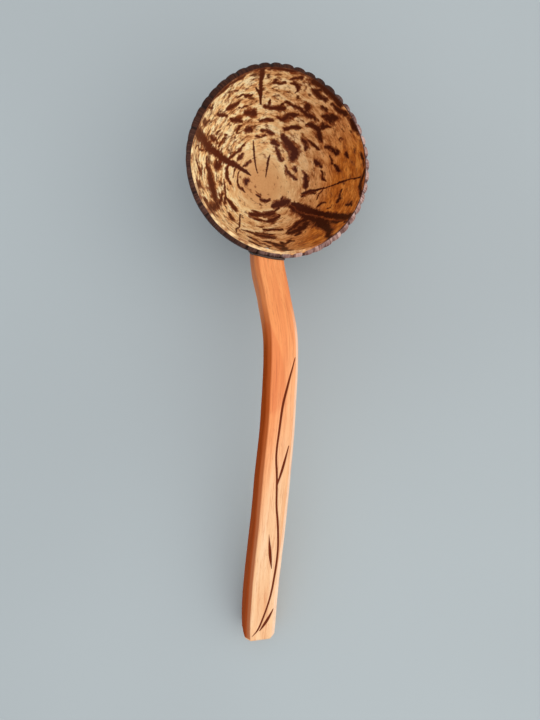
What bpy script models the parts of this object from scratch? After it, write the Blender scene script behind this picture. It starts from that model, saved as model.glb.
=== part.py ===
"""A coconut-shell ladle.

Half a coconut shell with a notched rim sits on the end of a bent, hand-carved wooden handle. Two
round-head wood screws, driven from inside the shell, and a thin bed of adhesive hold the two
together. The ladle lies on a table as it rests by itself: the shell leans to one side on its
rounded bottom and the end of the handle touches the table.

Layout frame: metres, +Z up, the table is z = 0, the shell stands over the origin and the handle
runs towards -Y. At the end everything moves so that the origin is at the middle of
the ladle's footprint.
"""

import math

import bmesh
import bpy
from mathutils import Euler, Matrix, Vector

MM = 0.001
FIT_GAP = 0.3 * MM              # clearance between touching pieces

# Shell: sizes are at the outer skin, heights are measured down from the rim along its own axis. The
# wall still opens out at the rim: its skin would only stand upright at WIDEST_LEVEL, above the rim.
RIM_CENTRE = Vector((0.2, -1.1, 54.5)) * MM
SHELL_LEAN = (math.radians(3.0), math.radians(13.5), 0.0)
SHELL_RADIUS = 52.65 * MM       # at the widest level
WIDEST_LEVEL = -6.0 * MM
SHELL_DEPTH = 55.2 * MM
ACROSS, ALONG = 0.978, 0.990    # the shell is slightly oval
WALL_AT_RIM = 3.8 * MM
WALL_AT_BOTTOM = 4.4 * MM
LOBE_3, LOBE_4 = 0.48 * MM, 0.30 * MM   # how far the natural shape leaves an oval
LOBE_3_START, LOBE_4_START = math.radians(270), math.radians(49)
SHELL_ROWS = 9                  # rings between the rim and the bottom, on each side

# Rim: a row of small lobes filed into the outer corner. From the flat sawn face outwards, each row
# has its distance in from the wall and its drop below the rim, and what a notch adds to both.
NOTCHES = 48
SEGMENTS_PER_NOTCH = 3
RIM_ROWS = [
    (2.90, 0.00, 0.30, 0.00),
    (1.20, 0.80, 0.90, 0.80),
    (0.00, 2.20, 0.50, 1.50),
]

# Handle: x, y, z of the middle, then width, thickness and edge chamfer, from the free end up
HANDLE_STATIONS = [
    (-14.0, -278.2, 6.6, 18.6, 15.6, 3.0),
    (-13.2, -262.8, 11.4, 19.6, 16.0, 3.0),
    (-11.4, -236.1, 21.6, 19.2, 16.0, 2.8),
    (-8.1, -206.0, 32.8, 18.6, 15.4, 2.4),
    (-4.9, -170.2, 44.0, 18.0, 14.6, 2.1),
    (-2.0, -136.0, 53.0, 17.0, 14.2, 2.0),
    (-0.9, -99.5, 58.4, 16.6, 14.2, 2.0),
    (-4.3, -75.4, 53.4, 16.2, 14.4, 2.1),
    (-7.5, -58.4, 46.8, 16.8, 15.0, 2.2),
    (-9.0, -42.0, 42.4, 16.8, 15.0, 2.2),
]
HANDLE_ROLL = math.radians(13.5)
RINGS_PER_SPAN = 5
END_ROUNDING = 3.0 * MM

# Carved vine: place along the handle, in stations counted from the free end, and across its top
# face (-1 at the left edge, +1 at the right edge)
GROOVE_WIDTH = 1.7 * MM         # of the square tube that cuts it, corner to corner
GROOVE_LIFT = 0.2 * MM          # the tube's middle line lies this far above the face
VINE = [(5.80, 0.96), (5.43, 0.42), (5.12, 0.06), (4.75, -0.08), (4.38, -0.12), (4.00, 0.11),
        (3.54, 0.30), (3.27, 0.53), (2.79, 0.81), (2.21, 0.84), (1.70, 0.66), (1.15, 0.15),
        (0.62, -0.34), (0.32, -0.84)]
LEAVES = [
    [(4.62, 0.82), (4.22, 0.56), (3.90, 0.42)],
    [(3.07, -0.10), (2.66, 0.20), (2.34, 0.48)],
    [(1.30, 0.98), (0.95, 0.52), (0.62, 0.10)],
]

# Joint between shell and handle
GLUE_THICKNESS = 0.6 * MM
SADDLE_GAP = GLUE_THICKNESS + 2 * FIT_GAP
GLUE_STATIONS = (7.8, 8.2, 8.6, 9.0)    # the stretch of the handle that the glue bed is cut from
SCREW_HEIGHTS = {"screw_upper": 48.2 * MM, "screw_lower": 41.4 * MM}
SCREW_SIDE = -8.4 * MM          # x of the screw heads
SCREW_TURN = math.radians(-7.0)     # towards the handle's line, seen from above
SCREW_RISE = math.radians(13.0)
SCREW_SHANK = 1.5 * MM          # radii
SCREW_HEAD = 2.6 * MM
SCREW_HEAD_HEIGHT = 1.7 * MM
SCREW_LENGTH = 15.0 * MM        # under the head
SCREW_POINT = 3.5 * MM
SCREW_TIP = 0.2 * MM
DOME_ANGLES = (78, 60, 40, 20, 0)       # rows of the head, in degrees from its edge
SLOT_WIDTH, SLOT_DEPTH = 0.7 * MM, 0.7 * MM
SPOT_FACE = 3.2 * MM            # radius of the flat seat cut for each head
SEAT_DEPTH = 0.5 * MM           # how far the seat is sunk into the wall
SCREW_SIDES = 20


# ---------------------------------------------------------------- helpers

def clear_scene():
    for obj in list(bpy.data.objects):
        bpy.data.objects.remove(obj, do_unlink=True)


def material(name, colour, roughness, metallic=0.0):
    mat = bpy.data.materials.new(name)
    mat.use_nodes = True
    shader = mat.node_tree.nodes["Principled BSDF"]
    shader.inputs["Base Color"].default_value = (*colour, 1.0)
    shader.inputs["Roughness"].default_value = roughness
    shader.inputs["Metallic"].default_value = metallic
    return mat


def make_object(name, bm, mat=None, sharp_angle=35.0, smooth=True):
    bmesh.ops.recalc_face_normals(bm, faces=bm.faces)
    bmesh.ops.triangulate(bm, faces=bm.faces)       # flat faces cut cleanly
    mesh = bpy.data.meshes.new(name)
    bm.to_mesh(mesh)
    bm.free()
    if smooth:
        mesh.shade_smooth()
        mesh.set_sharp_from_angle(angle=math.radians(sharp_angle))
    if mat:
        mesh.materials.append(mat)
    obj = bpy.data.objects.new(name, mesh)
    bpy.context.scene.collection.objects.link(obj)
    return obj


def make_cutter(name, bm):
    cutter = make_object(name, bm)
    cutter.hide_render = True
    cutter.display_type = 'WIRE'
    return cutter


def boolean(obj, cutter, operation='DIFFERENCE'):
    modifier = obj.modifiers.new(cutter.name, 'BOOLEAN')
    modifier.operation = operation
    modifier.object = cutter
    modifier.solver = 'EXACT'


def skin_rings(bm, rings, close_ends=True):
    """Joins rings of points, in order, with quads and caps both ends."""
    verts = [[bm.verts.new(point) for point in ring] for ring in rings]
    count = len(rings[0])
    for lower, upper in zip(verts, verts[1:]):
        for i in range(count):
            j = (i + 1) % count
            bm.faces.new((lower[i], lower[j], upper[j], upper[i]))
    if close_ends:
        bm.faces.new(verts[0])
        bm.faces.new(verts[-1])
    return verts


def catmull_rom(values, t):
    """Reads a smooth curve through rows of numbers; t runs from 0 to len(values) - 1."""
    last = len(values) - 1
    i = min(int(t), last - 1)
    u = t - i
    p1, p2 = values[i], values[i + 1]
    p0 = values[i - 1] if i > 0 else [2 * a - b for a, b in zip(p1, p2)]
    p3 = values[i + 2] if i + 2 <= last else [2 * b - a for a, b in zip(p1, p2)]
    return [0.5 * (2 * b + (c - a) * u + (2 * a - 5 * b + 4 * c - d) * u ** 2
                   + (3 * b - a - 3 * c + d) * u ** 3)
            for a, b, c, d in zip(p0, p1, p2, p3)]


# ---------------------------------------------------------------- shell

SHELL_PLACE = Matrix.Translation(RIM_CENTRE) @ Euler(SHELL_LEAN).to_matrix().to_4x4()


def shell_point(angle, radius, level, nature=1.0):
    """A point on a ring of the shell; the rim plane is level 0 and the axis is local +Z."""
    radius += nature * (LOBE_3 * math.cos(3 * angle - LOBE_3_START)
                        + LOBE_4 * math.cos(4 * angle - LOBE_4_START))
    return Vector((radius * ACROSS * math.cos(angle), radius * ALONG * math.sin(angle), level))


def shell_profile(inset, depth_inset, rows):
    """(radius, level) from just under the rim down to the bottom, on a skin inside the outer one."""
    widest = SHELL_RADIUS - inset
    low = SHELL_DEPTH - depth_inset - WIDEST_LEVEL
    start = math.asin(WIDEST_LEVEL / low)
    profile = []
    for row in range(rows + 1):
        turn = -start + (math.pi / 2 + start) * row / rows
        profile.append((widest * math.cos(turn), -WIDEST_LEVEL - low * math.sin(turn)))
    return profile


def nature_at(level):
    """The uneven natural outline fades out towards the bottom."""
    return 1.0 - min(1.0, -level / SHELL_DEPTH) ** 2


def shell_rings(profile, segments):
    """A ring of points for each row of the profile but the last, which is the bottom's middle."""
    return [[shell_point(2 * math.pi * i / segments, radius, level, nature_at(level))
             for i in range(segments)] for radius, level in profile[:-1]]


def close_bottom(bm, loop, level):
    centre = bm.verts.new((0.0, 0.0, level))
    for i, vert in enumerate(loop):
        bm.faces.new((vert, loop[(i + 1) % len(loop)], centre))


def rim_rings(segments):
    """The filed corner: a flat face, then lobes that slope out and down to the wall."""
    outer_radius = shell_profile(0.0, 0.0, SHELL_ROWS)[0][0]
    rows = []
    for inward, drop, notch_inward, notch_drop in RIM_ROWS:
        row = []
        for i in range(segments):
            notch = 1.0 if i % SEGMENTS_PER_NOTCH == 0 else 0.0
            row.append(shell_point(2 * math.pi * i / segments,
                                   outer_radius - (inward + notch * notch_inward) * MM,
                                   -(drop + notch * notch_drop) * MM))
        rows.append(row)
    return rows


def build_shell(mat):
    segments = NOTCHES * SEGMENTS_PER_NOTCH
    outer = shell_profile(0.0, 0.0, SHELL_ROWS)
    inner = shell_profile(WALL_AT_RIM, WALL_AT_BOTTOM, SHELL_ROWS)
    bm = bmesh.new()
    inside = shell_rings(inner, segments)
    outside = shell_rings(outer, segments)[1:]
    rings = list(reversed(inside)) + rim_rings(segments) + outside
    verts = skin_rings(bm, rings, close_ends=False)
    close_bottom(bm, verts[0], inner[-1][1])
    close_bottom(bm, verts[-1], outer[-1][1])
    shell = make_object("shell_bowl", bm, mat, sharp_angle=28.0)
    shell.matrix_world = SHELL_PLACE
    return shell


def swollen_shell(name, gap):
    """A solid that follows the outer skin at a distance, used to cut the saddle and the glue."""
    rows, segments, headroom = 14, 96, 12.0 * MM
    profile = shell_profile(-gap, -gap, rows)
    top = (profile[0][0], headroom)
    bm = bmesh.new()
    verts = skin_rings(bm, shell_rings([top] + profile, segments), close_ends=False)
    bm.faces.new(verts[0])
    close_bottom(bm, verts[-1], profile[-1][1])
    cutter = make_cutter(name, bm)
    cutter.matrix_world = SHELL_PLACE
    return cutter


def table_cutter(name):
    """A block under the table's surface; it planes off what reaches below it."""
    bm = bmesh.new()
    bmesh.ops.create_cube(bm, size=1.0)
    cutter = make_cutter(name, bm)
    width, length, thickness = 0.4, 0.6, 0.05
    cutter.matrix_world = (Matrix.Translation((0.0, -length / 6, -thickness / 2))
                           @ Matrix.Diagonal((width, length, thickness, 1.0)))
    return cutter


# ---------------------------------------------------------------- handle

def handle_station(t):
    """Middle, side, up and along directions, then width, thickness and chamfer at station t."""
    last = len(HANDLE_STATIONS) - 1
    row = catmull_rom(HANDLE_STATIONS, t)
    step = 0.05
    ahead = catmull_rom(HANDLE_STATIONS, min(t + step, last))
    behind = catmull_rom(HANDLE_STATIONS, max(t - step, 0.0))
    along = (Vector(ahead[:3]) - Vector(behind[:3])).normalized()
    side = along.cross(Vector((0.0, 0.0, 1.0))).normalized()
    side = Matrix.Rotation(HANDLE_ROLL, 3, along) @ side
    up = side.cross(along)
    middle = Vector(row[:3]) * MM
    width, thickness, chamfer = (value * MM for value in row[3:])
    return middle, side, up, along, width, thickness, chamfer


def handle_section(t, inset=0.0, forward=0.0):
    """Eight corners of the chamfered section, seen from the free end, pushed forward if asked."""
    middle, side, up, along, width, thickness, chamfer = handle_station(t)
    half_w, half_t = width / 2 - inset, thickness / 2 - inset
    chamfer = min(chamfer, half_w, half_t)
    corners = [(half_w - chamfer, half_t), (half_w, half_t - chamfer),
               (half_w, chamfer - half_t), (half_w - chamfer, -half_t),
               (chamfer - half_w, -half_t), (-half_w, chamfer - half_t),
               (-half_w, half_t - chamfer), (chamfer - half_w, half_t)]
    return [middle + side * a + up * b + along * forward for a, b in corners]


def top_point(t, across, lift=0.0):
    """A point on the handle's top face."""
    middle, side, up, _, width, thickness, chamfer = handle_station(t)
    return middle + side * (across * (width / 2 - chamfer)) + up * (thickness / 2 + lift)


def add_groove(bm, points):
    """A four-sided tube along a line just above the top face, which cuts a V-shaped groove."""
    steps_per_span = 4
    steps = steps_per_span * (len(points) - 1)
    rings = []
    for step in range(steps + 1):
        t, across = catmull_rom(points, step / steps_per_span)
        ends = min(step, steps - step) / 2
        size = GROOVE_WIDTH / 2 * min(1.0, 0.35 + 0.65 * ends)
        side, up = handle_station(t)[1:3]
        centre = top_point(t, across, GROOVE_LIFT)
        rings.append([centre + side * size, centre + up * size,
                      centre - side * size, centre - up * size])
    skin_rings(bm, rings)


def build_handle(mat):
    rings = [handle_section(0.0, inset=END_ROUNDING),
             handle_section(0.0, inset=END_ROUNDING * 0.3, forward=END_ROUNDING * 0.3),
             handle_section(0.0, forward=END_ROUNDING)]
    count = (len(HANDLE_STATIONS) - 1) * RINGS_PER_SPAN
    for step in range(1, count + 1):
        rings.append(handle_section(step / RINGS_PER_SPAN))
    bm = bmesh.new()
    skin_rings(bm, rings)
    return make_object("handle", bm, mat, smooth=False)     # knife-cut facets stay crisp


def carve_vine(handle):
    bm = bmesh.new()
    for line in [VINE] + LEAVES:
        add_groove(bm, line)
    boolean(handle, make_cutter("vine_cutter", bm))


# ---------------------------------------------------------------- joint

def screw_place(height):
    """The head's underside is at the origin of this frame and the point is along its +Z."""
    direction = Euler((0.0, 0.0, SCREW_TURN)).to_matrix() @ Vector(
        (0.0, -math.cos(SCREW_RISE), math.sin(SCREW_RISE)))
    low = SHELL_DEPTH - WALL_AT_BOTTOM - WIDEST_LEVEL
    drop = (RIM_CENTRE.z - WIDEST_LEVEL - height) / low
    inner_radius = (SHELL_RADIUS - WALL_AT_RIM) * ALONG * math.sqrt(1.0 - drop ** 2)
    reach = math.sqrt(inner_radius ** 2 - (SCREW_SIDE - RIM_CENTRE.x) ** 2)
    seat = Vector((SCREW_SIDE, RIM_CENTRE.y - reach - SEAT_DEPTH, height))
    turn = Vector((0.0, 0.0, 1.0)).rotation_difference(direction).to_matrix().to_4x4()
    return Matrix.Translation(seat) @ turn


def turned(name, profile, place, mat=None):
    """A solid turned round its own Z axis from (radius, z) points that start and end on the axis."""
    rings = [[Vector((radius * math.cos(2 * math.pi * i / SCREW_SIDES),
                      radius * math.sin(2 * math.pi * i / SCREW_SIDES), z))
              for i in range(SCREW_SIDES)] for radius, z in profile]
    bm = bmesh.new()
    skin_rings(bm, rings)
    obj = make_object(name, bm, mat) if mat else make_cutter(name, bm)
    obj.matrix_world = place
    return obj


def build_screw(name, place, mat):
    dome = [(SCREW_HEAD * math.cos(angle), -SCREW_HEAD_HEIGHT * math.sin(angle))
            for angle in (math.radians(degrees) for degrees in DOME_ANGLES)]
    stem = [(SCREW_SHANK, 0.0), (SCREW_SHANK, SCREW_LENGTH - SCREW_POINT),
            (SCREW_TIP, SCREW_LENGTH)]
    screw = turned(name, dome + stem, place, mat)
    bm = bmesh.new()
    bmesh.ops.create_cube(bm, size=1.0)
    slot = make_cutter(name + "_slot_cutter", bm)
    slot.matrix_world = (place @ Matrix.Translation((0.0, 0.0, -SCREW_HEAD_HEIGHT))
                         @ Matrix.Diagonal((SCREW_HEAD * 3, SLOT_WIDTH, 2 * SLOT_DEPTH, 1.0)))
    boolean(screw, slot)
    return screw


def screw_bore(name, place):
    """Clearance round the stem and the flat seat under the head, as one cutter."""
    bore = SCREW_SHANK + FIT_GAP
    mouth = 6.0 * MM
    return turned(name, [(SPOT_FACE, -mouth), (SPOT_FACE, FIT_GAP), (bore, FIT_GAP),
                         (bore, SCREW_LENGTH + FIT_GAP)], place)


def build_glue(mat):
    """A thin bed that follows the skin of the shell within the outline of the handle."""
    rings = [handle_section(t, inset=FIT_GAP) for t in GLUE_STATIONS]
    bm = bmesh.new()
    skin_rings(bm, rings)
    glue = make_object("glue_bed", bm, mat)
    boolean(glue, swollen_shell("glue_outer_cutter", FIT_GAP + GLUE_THICKNESS), 'INTERSECT')
    boolean(glue, swollen_shell("glue_inner_cutter", FIT_GAP))
    return glue


# ---------------------------------------------------------------- assembly

def centre_on_footprint(parent, pieces):
    """Moves the whole ladle so that the origin is under the middle of its bounding box."""
    bpy.context.view_layer.update()
    depsgraph = bpy.context.evaluated_depsgraph_get()
    corners = []
    for piece in pieces:
        evaluated = piece.evaluated_get(depsgraph)
        corners += [evaluated.matrix_world @ vert.co for vert in evaluated.data.vertices]
    middle = [(min(c[k] for c in corners) + max(c[k] for c in corners)) / 2 for k in (0, 1)]
    parent.location = (-middle[0], -middle[1], 0.0)


def main():
    clear_scene()
    shell_mat = material("varnished_shell", (0.30, 0.16, 0.07), 0.30)
    wood_mat = material("handle_wood", (0.72, 0.36, 0.17), 0.45)
    steel_mat = material("screw_steel", (0.75, 0.72, 0.68), 0.30, metallic=1.0)
    glue_mat = material("dark_adhesive", (0.10, 0.06, 0.04), 0.50)

    shell = build_shell(shell_mat)
    handle = build_handle(wood_mat)
    glue = build_glue(glue_mat)
    pieces = [shell, handle, glue]
    boolean(shell, table_cutter("shell_base_cutter"))
    boolean(handle, table_cutter("handle_base_cutter"))
    boolean(handle, swollen_shell("saddle_cutter", SADDLE_GAP))
    for name, height in SCREW_HEIGHTS.items():
        place = screw_place(height)
        pieces.append(build_screw(name, place, steel_mat))
        for piece in (shell, handle, glue):
            boolean(piece, screw_bore(f"{name}_bore_in_{piece.name}", place))
    carve_vine(handle)

    ladle = bpy.data.objects.new("ladle", None)
    bpy.context.scene.collection.objects.link(ladle)
    for obj in list(bpy.context.scene.collection.objects):
        if obj is not ladle:
            obj.parent = ladle
    centre_on_footprint(ladle, pieces)


main()
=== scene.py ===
"""The coconut-shell ladle as it looks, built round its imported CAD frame.

The shell, handle, glue and screws are remade here with a finer surface than the CAD solids have,
from the same lines and sizes. Shapes are worked out in the layout frame: the table is z = 0, the
centre of the shell's rim is above the origin and the handle runs towards -Y. FRAME_SHIFT takes them
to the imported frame, whose origin is under the middle of the whole ladle.
"""

import math

import bmesh
import bpy
import numpy as np
from mathutils import Euler, Matrix, Vector, noise


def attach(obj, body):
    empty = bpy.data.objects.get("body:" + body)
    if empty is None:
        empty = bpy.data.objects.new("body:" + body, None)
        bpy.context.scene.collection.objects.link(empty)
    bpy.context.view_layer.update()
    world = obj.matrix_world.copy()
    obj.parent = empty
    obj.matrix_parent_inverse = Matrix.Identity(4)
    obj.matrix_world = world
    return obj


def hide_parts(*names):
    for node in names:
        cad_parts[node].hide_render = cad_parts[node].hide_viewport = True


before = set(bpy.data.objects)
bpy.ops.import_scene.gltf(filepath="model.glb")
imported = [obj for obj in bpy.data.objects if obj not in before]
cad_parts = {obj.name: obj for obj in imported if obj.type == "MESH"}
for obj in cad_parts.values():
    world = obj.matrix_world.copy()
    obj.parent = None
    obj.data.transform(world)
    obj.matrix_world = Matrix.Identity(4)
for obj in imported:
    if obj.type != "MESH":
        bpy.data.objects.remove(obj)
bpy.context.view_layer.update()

MM = 0.001
FRAME_SHIFT = Vector((0.526, 114.113, 0.0)) * MM
SEED = 11

# ---------------------------------------------------------------- sizes shared with the CAD solids

RIM_CENTRE = Vector((0.2, -1.1, 54.5)) * MM
SHELL_LEAN = (math.radians(3.0), math.radians(13.5), 0.0)
SHELL_RADIUS = 52.65 * MM
WIDEST_LEVEL = -6.0 * MM        # the skin would only stand upright above the rim: the wall flares
SHELL_DEPTH = 55.2 * MM
ACROSS, ALONG = 0.978, 0.990
WALL_AT_RIM = 3.8 * MM
WALL_AT_BOTTOM = 4.4 * MM
LOBE_3, LOBE_4 = 0.48 * MM, 0.30 * MM
LOBE_3_START, LOBE_4_START = math.radians(270), math.radians(49)
NOTCHES = 48

# Handle: x, y, z of the middle, then width, thickness and edge chamfer, from the free end up
HANDLE_STATIONS = [
    (-14.0, -278.2, 6.6, 18.6, 15.6, 3.0),
    (-13.2, -262.8, 11.4, 19.6, 16.0, 3.0),
    (-11.4, -236.1, 21.6, 19.2, 16.0, 2.8),
    (-8.1, -206.0, 32.8, 18.6, 15.4, 2.4),
    (-4.9, -170.2, 44.0, 18.0, 14.6, 2.1),
    (-2.0, -136.0, 53.0, 17.0, 14.2, 2.0),
    (-0.9, -99.5, 58.4, 16.6, 14.2, 2.0),
    (-4.3, -75.4, 53.4, 16.2, 14.4, 2.1),
    (-7.5, -58.4, 46.8, 16.8, 15.0, 2.2),
    (-9.0, -42.0, 42.4, 16.8, 15.0, 2.2),
]
HANDLE_ROLL = math.radians(13.5)
END_ROUNDING = 3.0 * MM

# Carved vine: stations from the free end, place across the top face (-1 left edge, +1 right edge),
# and the half width of the cut in mm
VINE = [(5.80, .96, .35), (5.43, .42, .75), (5.12, .06, .80), (4.75, -.08, .72), (4.38, -.12, .72),
        (4.00, .11, .72), (3.54, .30, .72), (3.27, .53, .75), (2.79, .81, .75), (2.21, .84, .75),
        (1.70, .66, .72), (1.15, .15, .72), (0.62, -.34, .68), (0.32, -.84, .30)]
LEAVES = [
    [(4.53, .82, .40), (4.19, .52, .82), (3.86, .16, .50)],
    [(3.07, -.10, .25), (2.68, .20, 1.05), (2.36, .50, .35)],
    [(1.34, .98, .50), (0.98, .43, 1.10), (0.60, -.12, .50)],
]

SADDLE_GAP = 1.2 * MM
SCREW_HEIGHTS = {"screw_upper": 48.2 * MM, "screw_lower": 41.4 * MM}
SCREW_SIDE = -8.4 * MM
SCREW_TURN = math.radians(-7.0)
SCREW_RISE = math.radians(13.0)
SCREW_SHANK = 1.5 * MM
SCREW_HEAD = 2.6 * MM
SCREW_HEAD_HEIGHT = 1.7 * MM
SCREW_LENGTH = 15.0 * MM
SCREW_POINT = 3.5 * MM
SPOT_FACE = 3.2 * MM
SEAT_DEPTH = 0.5 * MM

# ---------------------------------------------------------------- marks on the shell
# A mark is a stroke through (round, climb, half width) points, all in degrees: round the shell's
# axis from +X, climb from the middle of the bottom, 0, to the rim, 84. A degree is about 0.9 mm.

SEAMS = [
    [(99.5, 55, .5), (100.5, 61, .9), (101.5, 68, 1.1), (102.5, 76, 1.3), (104, 86, 1.8)],
    [(100.5, 60, .4), (103, 65, .6), (105, 67.5, .4)],
    [(144, 11, .4), (147, 16, 1.0), (150, 20, 1.3), (152, 25, 1.6), (155, 30, 1.9), (157, 35, 2.1),
     (158, 40, 2.5), (158.5, 45, 2.2), (160, 50, 2.4), (161.5, 55, 2.9), (161.5, 60, 2.8),
     (161.5, 66, 3.0), (162.5, 72, 3.1), (164, 78, 3.4), (166, 86, 3.8)],
    [(328.5, 27, 1.2), (328, 33, 2.6), (328, 40, 2.6), (328.5, 50, 2.0), (328, 60, 2.2),
     (327.5, 70, 2.3), (326.5, 78, 2.5), (326, 86, 2.7)],
]
CRACKS = [
    [(233.5, 32, .4), (236, 36, .7), (239, 41, .7), (240, 46, .6), (238, 52, .8), (239.5, 57, .4)],
    [(131, 57, .5), (135, 60, 1.0), (138, 63, 1.0), (140.5, 66, .5)],
    [(113, 9, .3), (110, 18, .6), (108, 25, .7), (107, 31, .4)],
    [(66, 7, .3), (73, 12, .6), (77, 17, .8), (77, 22, .5)],
    [(143, 74, .4), (147, 80, .8), (150, 86, .8)],
    [(347.5, 31, .8), (351, 36, 1.0), (353.5, 45, .6), (355, 52, .5), (357, 60, .5), (357, 68, .4),
     (355.5, 79, .5)],
]

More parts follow.
